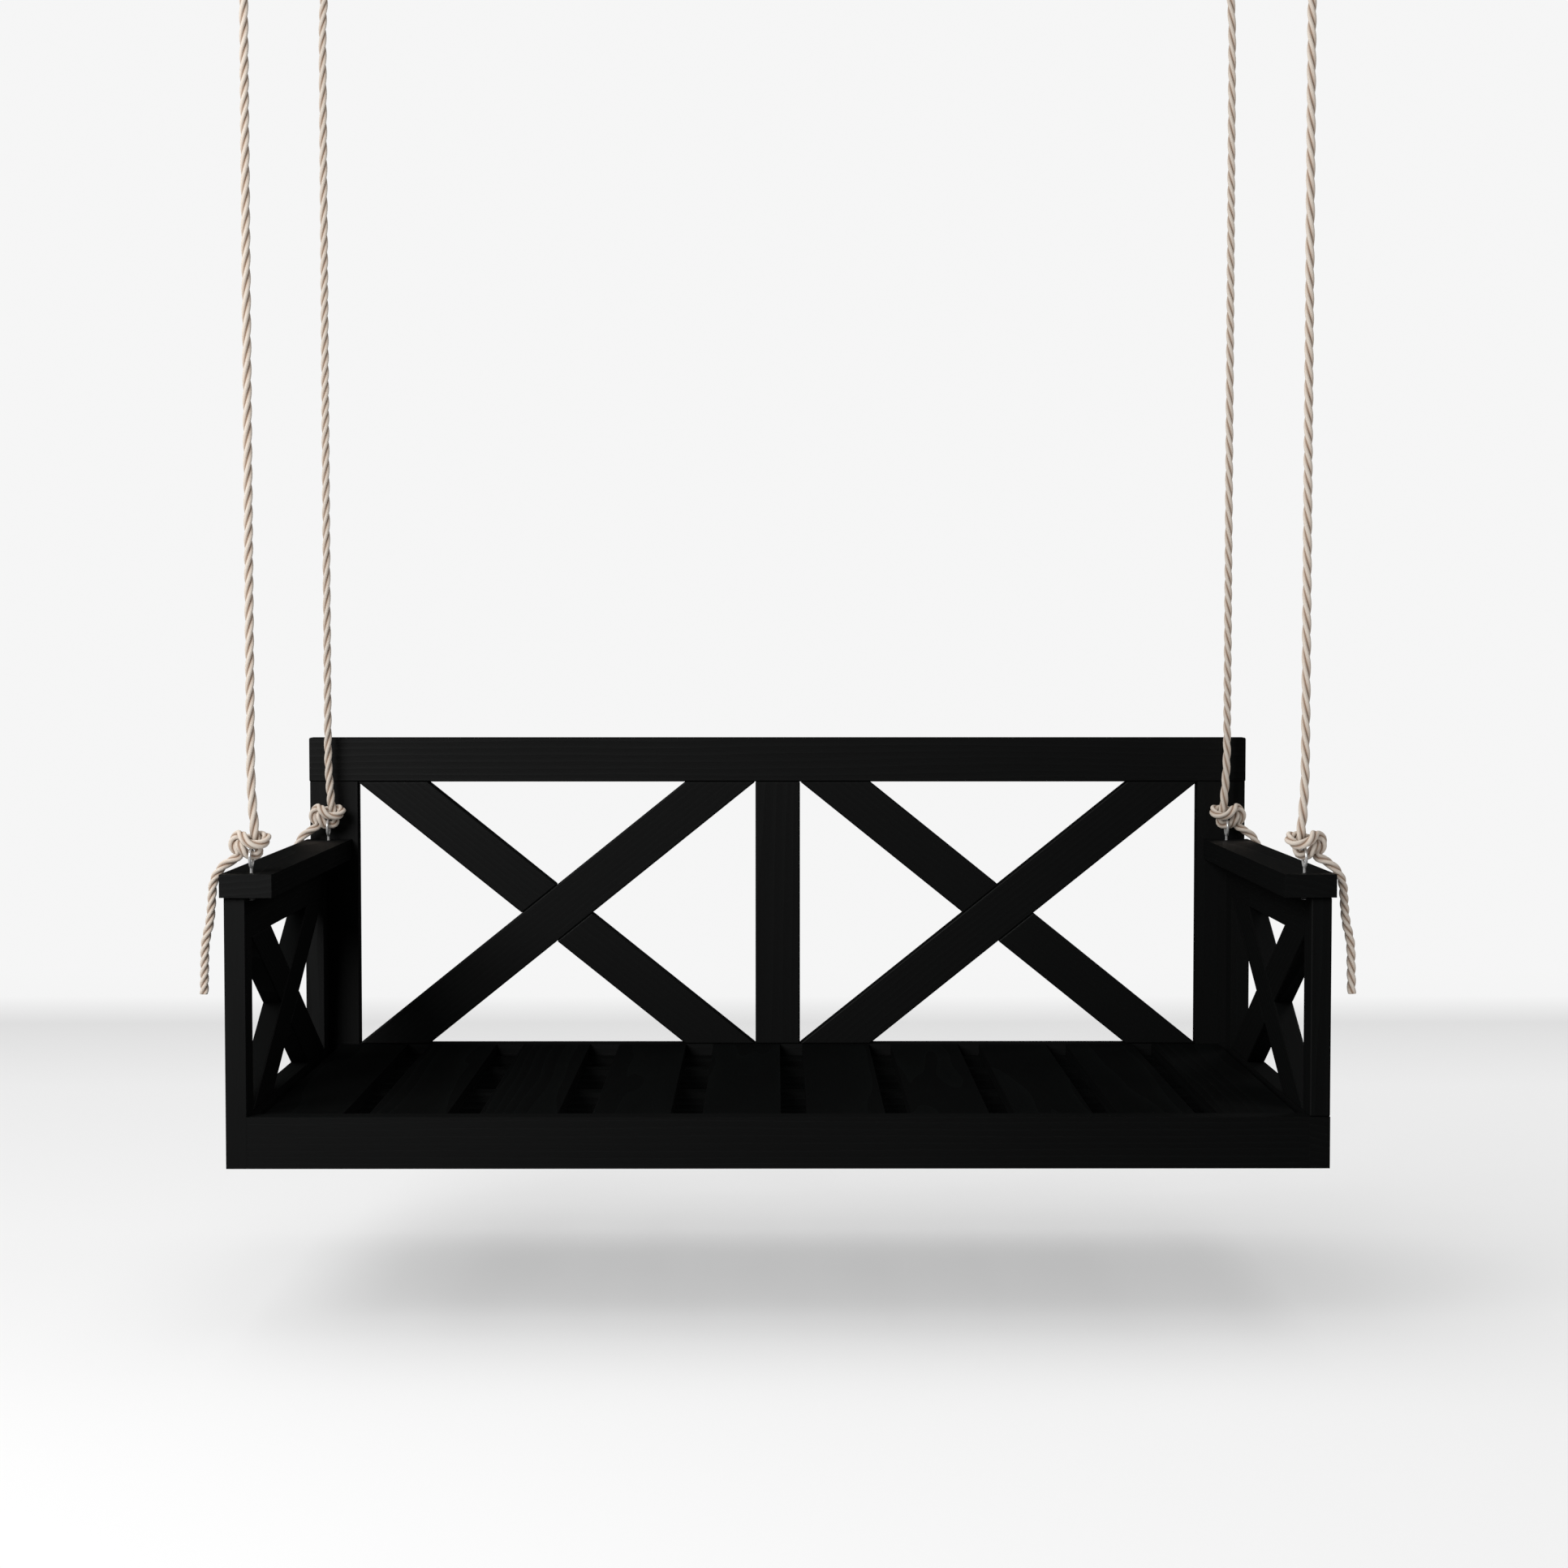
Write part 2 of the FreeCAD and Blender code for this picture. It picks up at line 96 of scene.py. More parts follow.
# The routes are those of the left ropes, as (x, y, z) from the middle of the ring that the knot is tied in.
# The right ropes are mirrored in x, and the upper knots are the same knot upside down.
KNOT_ROUTE = (
    (0.0000, 0.0000, 0.1500),
    (0.0005, 0.0000, 0.1000),
    (0.0030, 0.0000, 0.0600),
    (0.0045, 0.0010, 0.0420),
    (0.0050, 0.0020, 0.0310),
    (0.0070, 0.0025, 0.0220),
    (0.0110, 0.0010, 0.0140),
    (0.0105, 0.0000, 0.0050),
    (0.0020, 0.0000, 0.0030),
    (-0.0060, -0.0025, 0.0035),
    (-0.0105, -0.0050, 0.0110),
    (-0.0150, -0.0040, 0.0170),
    (-0.0155, 0.0030, 0.0215),
    (-0.0090, 0.0110, 0.0255),
    (0.0020, 0.0140, 0.0280),
    (0.0120, 0.0125, 0.0300),
    (0.0200, 0.0065, 0.0295),
    (0.0225, -0.0020, 0.0250),
    (0.0170, -0.0095, 0.0190),
    (0.0080, -0.0125, 0.0180),
    (-0.0005, -0.0130, 0.0205),
    (-0.0070, -0.0120, 0.0260),
    (-0.0110, -0.0075, 0.0310),
    (-0.0140, 0.0005, 0.0325),
    (-0.0200, 0.0030, 0.0305),
    (-0.0255, 0.0035, 0.0250),
    (-0.0260, 0.0035, 0.0175),
    (-0.0235, 0.0040, 0.0115),
    (-0.0190, 0.0040, 0.0085),
    (-0.0168, 0.0035, 0.0040),
    (-0.0195, 0.0025, -0.0005),
)
TAIL_ROUTE = (
    (-0.0260, 0.0010, -0.0035),
    (-0.0390, 0.0000, -0.0105),
    (-0.0530, 0.0000, -0.0300),
    (-0.0550, 0.0000, -0.0600),
    (-0.0575, 0.0000, -0.0900),
    (-0.0650, 0.0000, -0.1160),
    (-0.0658, 0.0000, -0.1520),
    (-0.0667, 0.0000, -0.1886),
)
UPPER_TAIL_ROUTE = (
    (-0.0460, 0.0000, 0.0020),
    (-0.0360, 0.0005, 0.0020),
    (-0.0260, 0.0020, 0.0012),
)

# The rear tails hang a little closer to the bench, so that they stay out of sight behind the side frames.
# They turn in between these two distances below their rings.
REAR_TAILS_INWARD = 0.0045
REAR_TAILS_TURN_IN = (0.03, 0.07)

# The ropes' looks: dark, pale and warm yarns, and a brown painted shade in the creases between the strands.
# The yarns are long and thin, and slant round the rope. Here and below, a noise is its scale, detail and
# roughness, and a bump is its depth and strength.
YARN_DARK = (0.52, 0.45, 0.38, 1.0)
YARN_PALE = (0.77, 0.72, 0.65, 1.0)
YARN_WARM = (0.57, 0.44, 0.35, 1.0)
PAINTED_CREASE_SHADE = (0.22, 0.115, 0.058, 1.0)
CREASE_SHADE_SHARPNESS = 2.6
MOST_WARMTH = 0.4
YARN_SLANT = 0.12
YARN_THINNESS = 0.03
YARN_NOISE = (75.0, 2.0, 0.5)
WARMTH_NOISE = (60.0, 2.0, 0.5)
ROPE_ROUGHNESS = (0.85, 0.7)
ROPE_SHINE = 0.25
YARN_BUMP = (0.0003, 0.5)

# The timber's edges: how far they are rounded, how close the corners are that are welded first, and the
# angles that tell a flat face from an edge
EDGE_ROUNDING = 0.0025
ROUNDING_SEGMENTS = 3
WELD_REACH = 0.00001
FLAT_WITHIN = math.radians(0.5)
EDGE_OVER = math.radians(40)

# The timber's looks: two blacks, and between them growth rings and pores that are stretched along the grain.
# Each board is cut beside a pith of its own, within these reaches of its middle in x, y and z.
BOARD_SEED = 7
PITH_REACHES = ((-0.05, 0.05), (0.03, 0.09), (-1, 1))
BLACK_LOW = (0.00036, 0.000416, 0.0004, 1.0)
BLACK_HIGH = (0.003168, 0.00378, 0.0036, 1.0)
RING_WAVES = {"Scale": 34.0, "Distortion": 10.0, "Detail": 2.0, "Detail Scale": 0.28}
RING_STRETCH, PORE_STRETCH, PATCH_STRETCH = 9.0, 45.0, 4.0
PORE_NOISE = (900.0, 4.0, 0.6)
PATCH_NOISE = (14.0, 2.0, 0.5)
PATCH_RANGE = (0.5, 1.5)
LATE_WOOD_SHARPNESS = 3.0
LATE_WOOD_SHARE = 0.4
PORE_SHARE = 0.5
TIMBER_ROUGHNESS = (0.7, 0.46)
TIMBER_SHINE = 0.3
SEAT_SHINE = 0.16
GRAIN_BUMP = (0.0004, 0.5)

# The metals. The first two are a level of grey, a roughness, the scale of the wear and how metallic it is.
BLACK_OXIDE = (0.02, 0.4, 900.0, 0.0)
BRIGHT_PLATE = (0.97, 0.22, 500.0, 0.55)
WEAR_DETAIL = (4.0, 0.6)
WEAR_DARKENS_TO = 0.82
WEAR_ROUGHNESS = (0.7, 1.3)
WEAR_BUMP = (0.00005, 0.4)
WARM_GREY = (1.0, 0.99, 0.97)
ZINC_LEVELS = (0.42, 0.6)
ZINC_METALLIC = 0.7
ZINC_ROUGHNESS = (0.28, 0.5)
BRUSH_STRETCH = 30.0
BRUSH_NOISE = (1400.0, 4.0, 0.6)
BRUSH_BUMP = (0.0001, 0.5)

# The floor: its height, how far it reaches, and how far the changes in its levels reach. Each level is a
# distance from the middle, how much light the floor scatters there, and how much it glows.
FLOOR_Z = -0.24
FLOOR_REACH = 60.0
ROOM_REACH = 5.0
FLOOR_LEVELS = (
    (0.0, 0.42, 0.44),
    (1.9, 0.41, 0.45),
    # At 2.95 m, a painted shade where a floor and wall would meet
    (2.95, 0.37, 0.40),
    (3.5, 0.08, 0.84),
    (4.1, 0.0, 0.92),
)

# The world: how bright it looks, how much it lights the swing, and how bright the swing mirrors it
BACKDROP_LEVEL = 0.92
AMBIENT_LEVEL = 0.17
MIRRORED_LEVEL = 0.008

# The sun overhead: the way it shines, its strength, and how many degrees of the sky it fills
OVERHEAD_SUN = ((0.4, -0.04, -1.0), 2.2, 90.0)

# Each softbox: its name, its place, the place that it faces, its width and its watts
SOFTBOXES = (
    ("left_softbox", (-2.1, -2.6, 2.1), (-0.3, 0.0, 0.4), 2.2, 74.0),
    ("rear_softbox", (3.1, 1.5, 2.5), (0.2, 0.2, 0.3), 1.8, 10.0),
)

# Where the Mix node keeps its inputs and its output when it mixes colours
MIX_SHARE, MIX_FIRST, MIX_SECOND = 0, 6, 7
MIX_RESULT = 2


def feed(tree, node, key, value):
    """A value is set on the node's input itself, and another node's output is linked to it."""
    if isinstance(value, bpy.types.NodeSocket):
        tree.links.new(value, node.inputs[key])
    else:
        node.inputs[key].default_value = value


def colour(level, tint=(1.0, 1.0, 1.0)):
    """A grey of this level, tinted."""
    return (*(level * part for part in tint), 1.0)


# ---------------------------------------------------------------- camera


def make_camera():
    """The camera of the main view."""
    data = bpy.data.cameras.new("camera")
    data.lens = LENS_MM
    data.sensor_width = SENSOR_MM
    camera = bpy.data.objects.new("camera", data)
    camera.location = CAMERA_PLACE
    camera.rotation_euler = (math.radians(90 + CAMERA_PITCH), 0, math.radians(CAMERA_YAW))
    bpy.context.scene.collection.objects.link(camera)
    bpy.context.scene.camera = camera


# ---------------------------------------------------------------- ropes


def middle(node):
    """The middle of a CAD node's box."""
    low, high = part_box(node)
    return (low + high) / 2


def hanger_places():
    """For each rope: its name, which side it is on, and the middles of its lower and upper rings."""
    ring_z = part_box("arm_left")[1].z + EYE_HEIGHT
    ceiling_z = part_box("ceiling_plates")[1].z - PLATE_TOP_ABOVE_RING
    for name, sign in (("front_left", -1), ("front_right", 1), ("rear_left", -1), ("rear_right", 1)):
        place = middle(f"rope_{name}")
        yield name, sign, Vector((place.x, place.y, ring_z)), Vector((place.x, place.y, ceiling_z))


def whole_route(sign, lower, upper, inward):
    """One rope's control points, from its short upper end through both knots to the end of its tail."""

    def placed(point, ring, up):
        """A point of a route, turned to its own side and measured from its own ring."""
        x, y, z = point
        return ring + Vector((-sign * x, y, up * z))

    top = [placed(point, upper, 1) for point in UPPER_TAIL_ROUTE]
    top += [placed(point, upper, -1) for point in reversed(KNOT_ROUTE)]
    tail = [(x + inward * smooth(-z, *REAR_TAILS_TURN_IN), y, z) for x, y, z in TAIL_ROUTE]
    return top + [placed(point, lower, 1) for point in (*KNOT_ROUTE, *tail)]


def spline_line(name, points):
    """The points of the smooth NURBS line that the control points steer."""
    curve = bpy.data.curves.new(name, "CURVE")
    curve.dimensions = "3D"
    curve.resolution_u = SPLINE_STEPS
    spline = curve.splines.new("NURBS")
    spline.points.add(len(points) - 1)
    for control, point in zip(spline.points, points):
        control.co = (*point, 1.0)
    spline.order_u = SPLINE_ORDER
    spline.use_endpoint_u = True
    holder = bpy.data.objects.new(name, curve)
    bpy.context.scene.collection.objects.link(holder)
    mesh = bpy.data.meshes.new_from_object(holder)
    line = np.array([vertex.co for vertex in mesh.vertices])
    bpy.data.objects.remove(holder)
    bpy.data.curves.remove(curve)
    bpy.data.meshes.remove(mesh)
    return line


def even_steps(line, step):
    """The same line with its points an even distance apart."""
    gaps = np.linalg.norm(np.diff(line, axis=0), axis=1)
    run = np.concatenate(([0.0], np.cumsum(gaps)))
    count = round(run[-1] / step) + 1
    wanted = np.linspace(0.0, run[-1], count)
    return np.stack([np.interp(wanted, run, line[:, k]) for k in range(3)], axis=1)


def carried_frames(line):
    """Tangents, and two directions across them that turn with the line but never twist about it."""
    tangents = np.gradient(line, axis=0)
    tangents /= np.linalg.norm(tangents, axis=1)[:, None]
    across = np.cross(tangents[0], (0.0, 1.0, 0.0))
    sides = []
    for tangent in tangents:
        across = across - tangent * (across @ tangent)
        across /= np.linalg.norm(across)
        sides.append(across)
    sides = np.array(sides)
    return tangents, sides, np.cross(tangents, sides)


def smooth(value, low, high):
    """Rises gently from 0 at low to 1 at high."""
    t = min(1.0, max(0.0, (value - low) / (high - low)))
    return t * t * (3 - 2 * t)


def twist_along(line, ring_heights, wander):
    """The strands' turn and the rope's swell at each point. The lay is tightest in the tails."""
    lower, upper = ring_heights
    angle, angles, swells = 0.0, [], []
    for k, point in enumerate(line):
        taut = smooth(min(point[2] - lower, upper - point[2]), *KNOT_ENDS)
        loose = smooth(lower - point[2], *TAIL_BEGINS)
        lay = LAY_IN_KNOTS + (LAY_ON_THE_RUN - LAY_IN_KNOTS) * taut + (LAY_IN_TAILS - LAY_IN_KNOTS) * loose
        run = k * RING_STEP
        lay *= 1 + sum(share * math.sin(phase * wander + rate * run) for share, phase, rate in LAY_WAVES)
        angle += 2 * math.pi * RING_STEP / lay
        angles.append(angle)
        swell = SWELL_IN_KNOTS + (1 - SWELL_IN_KNOTS) * taut + (SWELL_IN_TAILS - SWELL_IN_KNOTS) * loose
        swells.append(swell)
    return angles, swells


def rope_section():
    """Angle and distance from the middle of each point round the three strands."""
    section = []
    half = math.pi / STRANDS
    for strand in range(STRANDS):
        for k in range(POINTS_PER_STRAND):
            off = half * (2 * k / POINTS_PER_STRAND - 1)
            reach = STRAND_OFFSET * math.cos(off)
            reach += math.sqrt(STRAND_RADIUS**2 - (STRAND_OFFSET * math.sin(off)) ** 2)
            section.append((2 * half * strand + off, reach))
    return section


def rope_rings(line, hand, ring_heights, wander):
    """Rings of points round the line, with a cap at both ends, and each ring's distance along the line.

    The hand, 1 or -1, is the way in which the strands turn.
    """
    tangents, sides, ups = carried_frames(line)
    angles, swells = twist_along(line, ring_heights, wander)
    section = rope_section()
    rings, runs = [], []

    def add(k, beyond, share):
        """A ring that lies beyond point k of the line, at this share of the rope's width."""
        centre = line[k] + tangents[k] * beyond
        ring = []
        for angle, reach in section:
            turned = angle + hand * angles[k]
            out = math.cos(turned) * sides[k] + math.sin(turned) * ups[k]
            ring.append(centre + share * swells[k] * reach * out)
        rings.append(ring)
        runs.append(k * RING_STEP + beyond)

    for beyond, share in reversed(CAP):
        add(0, -beyond, share)
    for k in range(len(line)):
        add(k, 0.0, 1.0)
    for beyond, share in CAP:
        add(len(line) - 1, beyond, share)
    return rings, runs


def rope_mesh(name, line, hand, ring_heights, wander):
    """A closed tube of three twisted strands. Its UVs run once round the rope and evenly along it."""
    rings, runs = rope_rings(line, hand, ring_heights, wander)
    around = len(rings[0])
    vertices = [point for ring in rings for point in ring]
    faces, uvs = [], []
    for k in range(len(rings) - 1):
        for j in range(around):
            after = (j + 1) % around
            faces.append((k * around + j, k * around + after, (k + 1) * around + after, (k + 1) * around + j))
            left, right = j / around, (j + 1) / around
            low, high = runs[k] * UV_PER_METRE, runs[k + 1] * UV_PER_METRE
            uvs += [(left, low), (right, low), (right, high), (left, high)]
    for k, order in ((0, -1), (len(rings) - 1, 1)):
        faces.append([k * around + j for j in range(around)][::order])
        uvs += [(j / around, runs[k] * UV_PER_METRE) for j in range(around)][::order]
    mesh = bpy.data.meshes.new(name)
    mesh.from_pydata(vertices, [], faces)
    layer = mesh.uv_layers.new(name="strands")
    layer.data.foreach_set("uv", np.array(uvs, np.float32).ravel())
    mesh.polygons.foreach_set("use_smooth", [True] * len(mesh.polygons))
    mesh.validate()
    mesh.update()
    return mesh


def make_ropes(material):
    """One twisted rope for each hanger, from its upper end to its tail, instead of the plain CAD solids."""
    for number, (name, sign, lower, upper) in enumerate(hanger_places()):
        inward = REAR_TAILS_INWARD if "rear" in name else 0.0
        line = even_steps(spline_line(name, whole_route(sign, lower, upper, inward)), RING_STEP)
        wander = WANDER_BETWEEN_ROPES * number
        mesh = rope_mesh(f"twisted_rope_{name}", line, -sign, (lower.z, upper.z), wander)
        mesh.materials.append(material)
        rope = bpy.data.objects.new(f"twisted_rope_{name}", mesh)
        bpy.context.scene.collection.objects.link(rope)
        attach(rope, f"rope_{name}")
        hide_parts(f"rope_{name}", f"upper_knot_{name}", f"knot_{name}", f"tail_{name}")


# ---------------------------------------------------------------- materials


class Shader:
    """A new material and a short way to add and join its nodes."""

    def __init__(self, name):
        self.material = bpy.data.materials.new(name)
        self.material.use_nodes = True
        self.tree = self.material.node_tree
        self.surface = self.tree.nodes["Principled BSDF"]

    def add(self, kind, inputs=None, **settings):
        """A new shader node with these inputs and settings."""
        node = self.tree.nodes.new(kind)
        for key, value in settings.items():
            setattr(node, key, value)
        for key, value in (inputs or {}).items():
            self.put(node, key, value)
        return node

    def put(self, node, key, value):
        """Sets or links one input of a node."""
        feed(self.tree, node, key, value)

    def math(self, operation, *values):
        """The result of one Math node."""
        node = self.add("ShaderNodeMath", operation=operation)
        for k, value in enumerate(values):
            self.put(node, k, value)
        return node.outputs[0]

    def noise(self, vector, scale, detail, roughness):
        """Smooth noise from 0 to 1 at each place."""
        inputs = {"Vector": vector, "Scale": scale, "Detail": detail, "Roughness": roughness}
        return self.add("ShaderNodeTexNoise", inputs).outputs["Fac"]

    def between(self, value, low, high):
        """The value, from 0 to 1, moved into the range from low to high."""
        node = self.add("ShaderNodeMapRange", {"Value": value, "To Min": low, "To Max": high})
        return node.outputs["Result"]

    def mix(self, share, first, second):
        """The first colour where the share is 0, and the second where it is 1."""
        node = self.add("ShaderNodeMix", data_type="RGBA")
        self.put(node, MIX_SHARE, share)
        self.put(node, MIX_FIRST, first)
        self.put(node, MIX_SECOND, second)
        return node.outputs[MIX_RESULT]

    def bump(self, height, distance, strength):
        """A surface direction that follows the height, which runs from 0 to 1, over this distance."""
        node = self.add("ShaderNodeBump", {"Height": height, "Distance": distance, "Strength": strength})
        return node.outputs["Normal"]

    def stretched(self, centre, axis, stretch):
        """Object coordinates with the Z axis turned to lie along axis, and shortened along it by stretch."""
        place = self.add("ShaderNodeTexCoord").outputs["Object"]
        turn = Vector((0, 0, 1)).rotation_difference(axis).to_euler()
        inputs = {"Vector": place, "Location": centre, "Rotation": turn, "Scale": (1.0, 1.0, stretch)}
        return self.add("ShaderNodeMapping", inputs, vector_type="TEXTURE").outputs["Vector"]


def timber_material(name, centre, axis, chance, shine):
    """Black satin stain over flat-sawn timber: growth rings cut by the board's faces, and fine open pores."""
    shader = Shader(name)
    pith = centre + Vector([chance.uniform(*reach) for reach in PITH_REACHES])
    settings = {"wave_type": "RINGS", "rings_direction": "Z", "wave_profile": "SAW"}
    rings = shader.add("ShaderNodeTexWave", RING_WAVES, **settings)
    shader.put(rings, "Vector", shader.stretched(pith, axis, RING_STRETCH))
    pores = shader.noise(shader.stretched(pith, axis, PORE_STRETCH), *PORE_NOISE)
    patches = shader.noise(shader.stretched(pith, axis, PATCH_STRETCH), *PATCH_NOISE)
    late_wood = shader.math("POWER", rings.outputs["Fac"], LATE_WOOD_SHARPNESS)
    late_wood = shader.math("MULTIPLY", late_wood, LATE_WOOD_SHARE)
    grain = shader.math("ADD", late_wood, shader.math("MULTIPLY", pores, PORE_SHARE))
    tone = shader.math("MULTIPLY", grain, shader.between(patches, *PATCH_RANGE))
    shader.put(shader.surface, "Base Color", shader.mix(tone, BLACK_LOW, BLACK_HIGH))
    shader.put(shader.surface, "Roughness", shader.between(tone, *TIMBER_ROUGHNESS))
    shader.put(shader.surface, "Specular IOR Level", shine)
    shader.put(shader.surface, "Normal", shader.bump(grain, *GRAIN_BUMP))
    return shader.material


def rope_material():
    """Natural twisted cotton: pale strands with fine yarn lines, and brown painted shade in the creases
    between them.
    """
    shader = Shader("natural_rope")
    uv = shader.add("ShaderNodeUVMap", uv_map="strands").outputs["UV"]
    parts = shader.add("ShaderNodeSeparateXYZ", {"Vector": uv})
    around, along = parts.outputs["X"], parts.outputs["Y"]
    # The painted crease shade is 0 on the crest of each strand and 1 where two strands meet
    strand = shader.math("FRACT", shader.math("MULTIPLY", around, float(STRANDS)))
    off_crest = shader.math("ABSOLUTE", shader.math("SUBTRACT", strand, 0.5))
    crease_shade = shader.math("POWER", shader.math("MULTIPLY", off_crest, 2.0), CREASE_SHADE_SHARPNESS)
    flow = shader.add("ShaderNodeCombineXYZ")
    shader.put(flow, "X", shader.math("ADD", around, shader.math("MULTIPLY", along, YARN_SLANT)))
    shader.put(flow, "Y", shader.math("MULTIPLY", along, YARN_THINNESS))
    yarns = shader.noise(flow.outputs["Vector"], *YARN_NOISE)
    place = shader.add("ShaderNodeTexCoord").outputs["Object"]
    warmth = shader.between(shader.noise(place, *WARMTH_NOISE), 0.0, MOST_WARMTH)
    strands = shader.mix(warmth, shader.mix(yarns, YARN_DARK, YARN_PALE), YARN_WARM)
    # Brown painted shade darkens the creases between the strands
    shader.put(shader.surface, "Base Color", shader.mix(crease_shade, strands, PAINTED_CREASE_SHADE))
    shader.put(shader.surface, "Roughness", shader.between(yarns, *ROPE_ROUGHNESS))
    shader.put(shader.surface, "Specular IOR Level", ROPE_SHINE)
    shader.put(shader.surface, "Normal", shader.bump(yarns, *YARN_BUMP))
    return shader.material


def metal_material(name, level, roughness, wear_scale, metallic):
    """Plated or painted metal with fine wear in its polish."""
    shader = Shader(name)
    place = shader.add("ShaderNodeTexCoord").outputs["Object"]
    wear = shader.noise(place, wear_scale, *WEAR_DETAIL)
    tone = shader.mix(wear, colour(level * WEAR_DARKENS_TO), colour(level, WARM_GREY))
    least, most = (roughness * share for share in WEAR_ROUGHNESS)
    shader.put(shader.surface, "Base Color", tone)
    shader.put(shader.surface, "Metallic", metallic)
    shader.put(shader.surface, "Roughness", shader.between(wear, least, most))
    shader.put(shader.surface, "Normal", shader.bump(wear, *WEAR_BUMP))
    return shader.material


def brushed_material():
    """Zinc plate brushed along its length."""
    shader = Shader("brushed_zinc")
    lines = shader.noise(shader.stretched(Vector(), Vector((1, 0, 0)), BRUSH_STRETCH), *BRUSH_NOISE)
    dark, light = (colour(level) for level in ZINC_LEVELS)
    shader.put(shader.surface, "Base Color", shader.mix(lines, dark, light))
    shader.put(shader.surface, "Metallic", ZINC_METALLIC)
    shader.put(shader.surface, "Roughness", shader.between(lines, *ZINC_ROUGHNESS))
    shader.put(shader.surface, "Normal", shader.bump(lines, *BRUSH_BUMP))
    return shader.material


# ---------------------------------------------------------------- CAD nodes


def grain_axis(node):
    """The way a board's grain runs: its long side, or for a brace the line that its corners lie along."""
    low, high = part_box(node)
    if "brace" not in node:
        size = high - low
        longest = max(range(3), key=lambda k: size[k])
        return Vector([float(k == longest) for k in range(3)])
    corners = np.array([vertex.co for vertex in frame["nodes"][node].data.vertices])
    _, _, axes = np.linalg.svd(corners - corners.mean(axis=0), full_matrices=False)
    return Vector(axes[0])


def paint(node, material):
    """Gives a CAD node this one material."""
    slots = frame["nodes"][node].data.materials
    slots.clear()
    slots.append(material)


def soften_edges(node, width):
    """Welds the shared corners, joins each flat face's triangles, and rounds the sharp edges a little."""
    piece = frame["nodes"][node]
    weld = piece.modifiers.new("weld", "WELD")
    weld.merge_threshold = WELD_REACH
    flatten = piece.modifiers.new("whole_faces", "DECIMATE")
    flatten.decimate_type = "DISSOLVE"
    flatten.angle_limit = FLAT_WITHIN
    bevel = piece.modifiers.new("soft_edges", "BEVEL")
    bevel.width = width
    bevel.segments = ROUNDING_SEGMENTS
    bevel.limit_method = "ANGLE"
    bevel.angle_limit = EDGE_OVER
    bevel.harden_normals = True


def dress_frame():
    """Gives every CAD node its looks. Each board has timber of its own."""
    chance = random.Random(BOARD_SEED)
    metals = {
        "screw_black": metal_material("black_oxide", *BLACK_OXIDE),
        "eye_steel": metal_material("bright_plate", *BRIGHT_PLATE),
        "plate_steel": brushed_material(),
    }
    for part in frame["record"]["subparts"]:
        node, slot = part["node"], part["material_slot"]
        if slot in metals:
            paint(node, metals[slot])
        elif slot == "timber":
            shine = SEAT_SHINE if node.startswith("seat_") else TIMBER_SHINE
            name = f"black_timber_{node}"
            paint(node, timber_material(name, middle(node), grain_axis(node), chance, shine))
            soften_edges(node, EDGE_ROUNDING)


# ---------------------------------------------------------------- studio


def floor_material():
    """Pale, with a painted shade a little darker where floor and wall would meet, and then as white as the
    backdrop.
    """
    shader = Shader("pale_floor")
    place = shader.add("ShaderNodeTexCoord").outputs["Object"]
    parts = shader.add("ShaderNodeSeparateXYZ", {"Vector": place})
    away = shader.math("MAXIMUM", *(shader.math("ABSOLUTE", parts.outputs[axis]) for axis in "XY"))
    share = shader.math("DIVIDE", away, ROOM_REACH)
    surface, glow = (shader.add("ShaderNodeValToRGB", {"Fac": share}) for _ in range(2))
    for ramp, column in ((surface, 1), (glow, 2)):
        stops = ramp.color_ramp.elements
        for _ in FLOOR_LEVELS[2:]:
            stops.new(0.5)
        for stop, level in zip(stops, FLOOR_LEVELS):
            stop.position = level[0] / ROOM_REACH
            stop.color = colour(level[column])
    shader.put(shader.surface, "Base Color", surface.outputs["Color"])
    shader.put(shader.surface, "Emission Color", glow.outputs["Color"])
    shader.put(shader.surface, "Emission Strength", 1.0)
    shader.put(shader.surface, "Roughness", 1.0)
    shader.put(shader.surface, "Specular IOR Level", 0.0)
    return shader.material


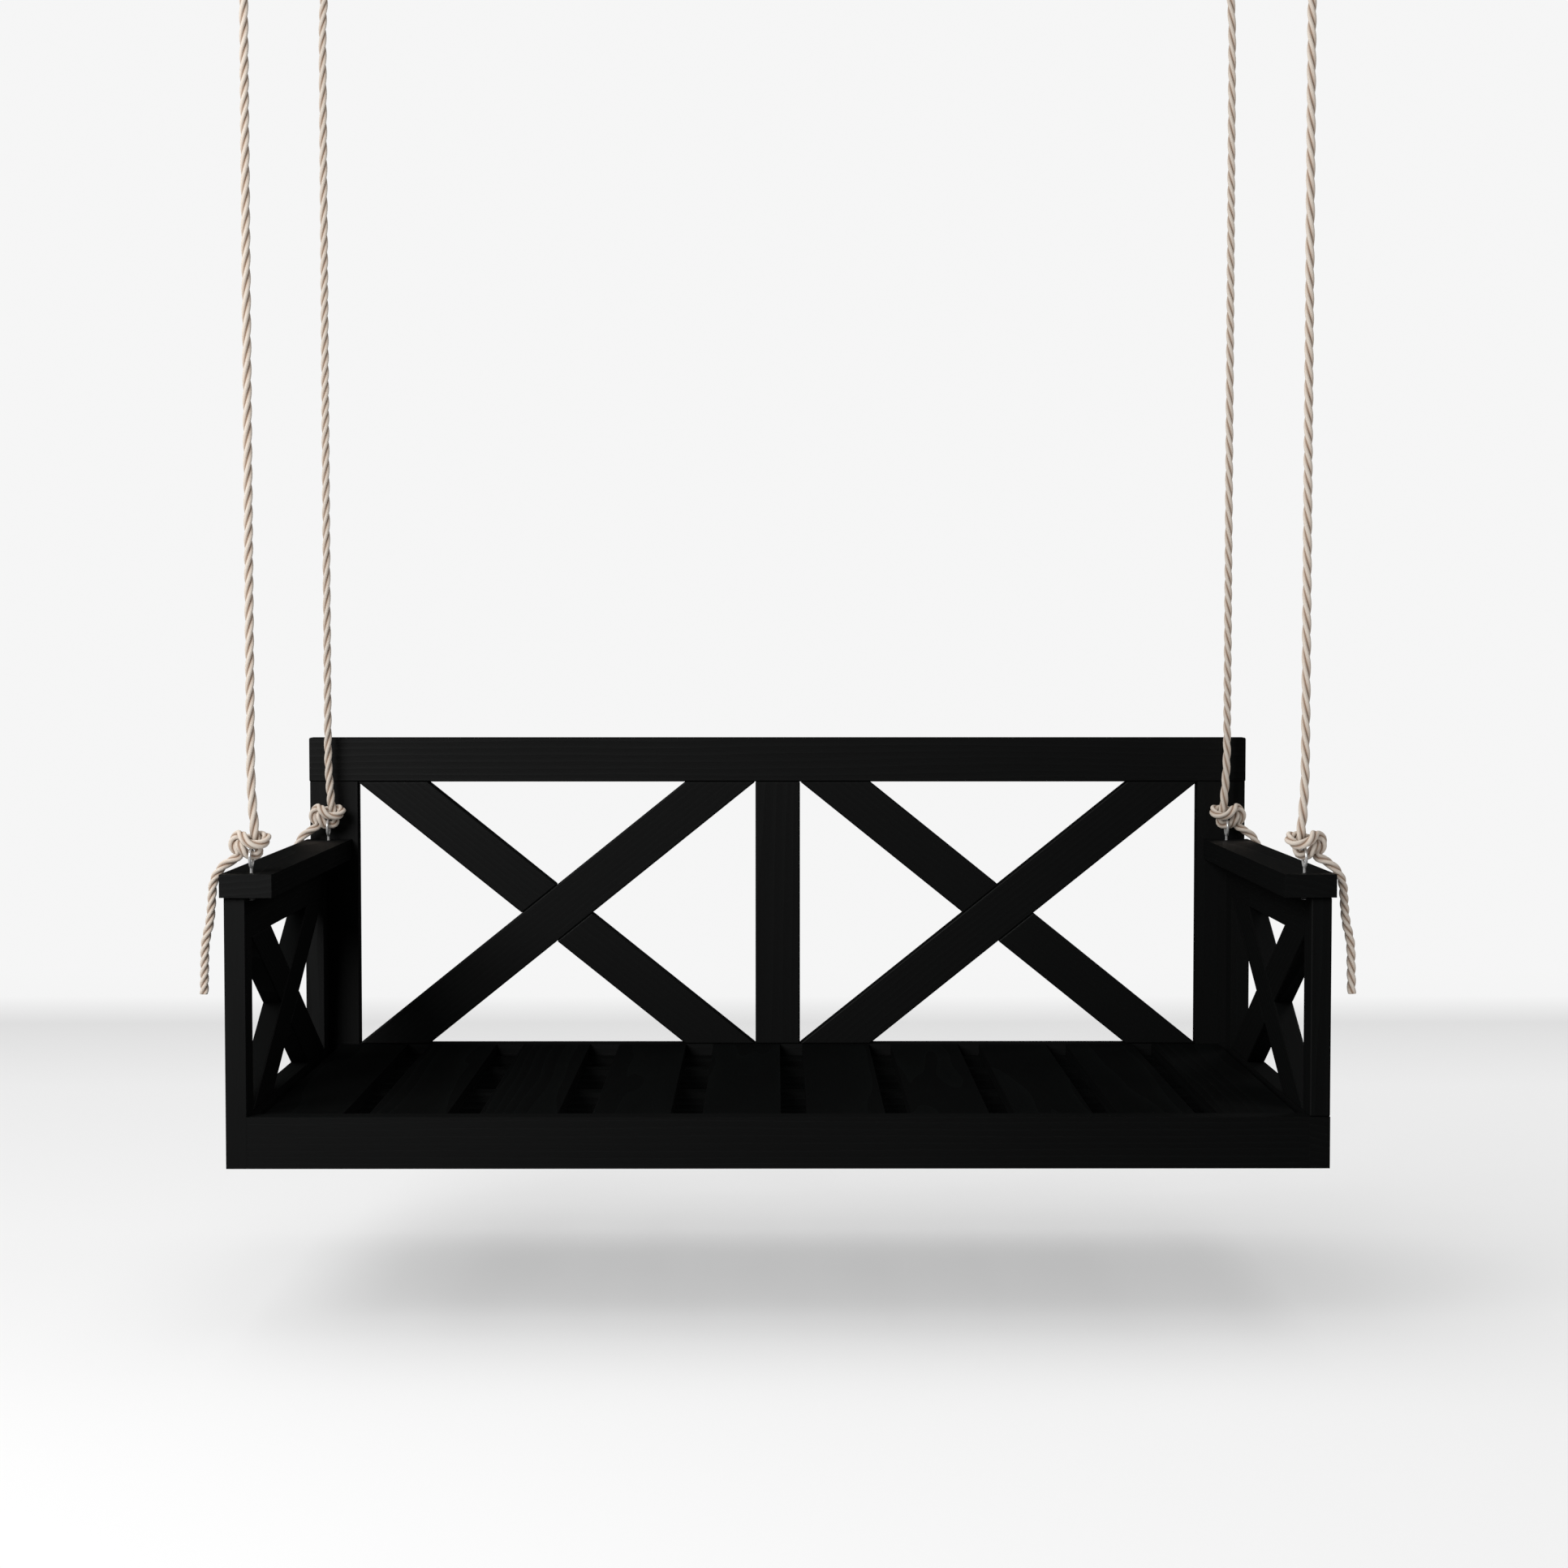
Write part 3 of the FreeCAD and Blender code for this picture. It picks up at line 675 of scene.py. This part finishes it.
def make_floor():
    """A pale floor that glows a little, so that the swing's shadow stays soft and light."""
    mesh = bpy.data.meshes.new("floor")
    corners = ((-1, -1), (1, -1), (1, 1), (-1, 1))
    places = [(FLOOR_REACH * x, FLOOR_REACH * y, FLOOR_Z) for x, y in corners]
    mesh.from_pydata(places, [], [(0, 1, 2, 3)])
    floor = bpy.data.objects.new("floor", mesh)
    bpy.context.scene.collection.objects.link(floor)
    mesh.materials.append(floor_material())
    floor.visible_glossy = False


def make_world():
    """White to look at, and a dimmer soft light on the swing."""
    world = bpy.data.worlds.new("studio")
    bpy.context.scene.world = world
    world.use_nodes = True
    tree = world.node_tree
    rays = tree.nodes.new("ShaderNodeLightPath").outputs
    dimmed = tree.nodes.new("ShaderNodeMapRange")
    feed(tree, dimmed, "To Min", AMBIENT_LEVEL)
    feed(tree, dimmed, "To Max", MIRRORED_LEVEL)
    feed(tree, dimmed, "Value", rays["Is Glossy Ray"])
    lit = tree.nodes["Background"]
    feed(tree, lit, "Color", colour(1.0))
    feed(tree, lit, "Strength", dimmed.outputs["Result"])
    seen = tree.nodes.new("ShaderNodeBackground")
    feed(tree, seen, "Color", colour(BACKDROP_LEVEL))
    pick = tree.nodes.new("ShaderNodeMixShader")
    for key, value in enumerate((rays["Is Camera Ray"], lit.outputs[0], seen.outputs[0])):
        feed(tree, pick, key, value)
    feed(tree, tree.nodes["World Output"], "Surface", pick.outputs[0])


def area_light(name, place, target, size, power):
    """A round softbox."""
    data = bpy.data.lights.new(name, "AREA")
    data.shape = "DISK"
    data.size = size
    data.energy = power
    light = bpy.data.objects.new(name, data)
    light.location = place
    light.rotation_euler = (Vector(target) - Vector(place)).to_track_quat("-Z", "Y").to_euler()
    bpy.context.scene.collection.objects.link(light)


def sun_light(name, towards, strength, spread):
    """A sun of this spread in degrees, which nothing mirrors."""
    data = bpy.data.lights.new(name, "SUN")
    data.energy = strength
    data.angle = math.radians(spread)
    light = bpy.data.objects.new(name, data)
    light.rotation_euler = Vector(towards).to_track_quat("-Z", "Y").to_euler()
    light.visible_glossy = False
    bpy.context.scene.collection.objects.link(light)


def make_lights():
    """Soft light from overhead, a large softbox at the left, and a weak one behind at the right."""
    sun_light("overhead", *OVERHEAD_SUN)
    for softbox in SOFTBOXES:
        area_light(*softbox)


make_camera()
make_ropes(rope_material())
dress_frame()
make_floor()
make_world()
make_lights()
bpy.context.scene.view_settings.view_transform = "Standard"
